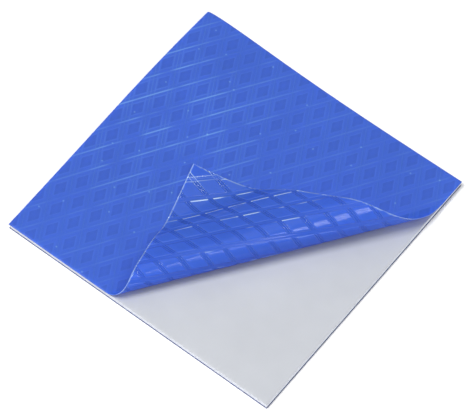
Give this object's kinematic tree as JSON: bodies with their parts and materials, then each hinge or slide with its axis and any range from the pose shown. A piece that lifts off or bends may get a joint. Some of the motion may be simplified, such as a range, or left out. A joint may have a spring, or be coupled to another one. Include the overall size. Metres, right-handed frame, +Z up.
{
  "type": "thermal pad sheet",
  "caption": "Square soft silicone thermal gap pad between embossed film liners, with the top film peeled back from a corner to bare the tacky pad face.",
  "frame": {"origin": "on the floor under the middle of the sheet's outline", "axes": "+Z up through the sheet's thickness, +X along the front edge to the peeled corner, +Y along the left edge to the back"},
  "size_m": [0.1012, 0.1011, 0.0158],
  "materials": {
    "liner_film": "thin blue liner film",
    "silicone_pad": "soft matte grey filled silicone",
    "release_film": "blue embossed release film, satin outside and glossy inside"
  },
  "bodies": {
    "root": {"bottom_liner": "liner_film", "thermal_pad": "silicone_pad", "release_film": "release_film"}
  },
  "joints": []
}
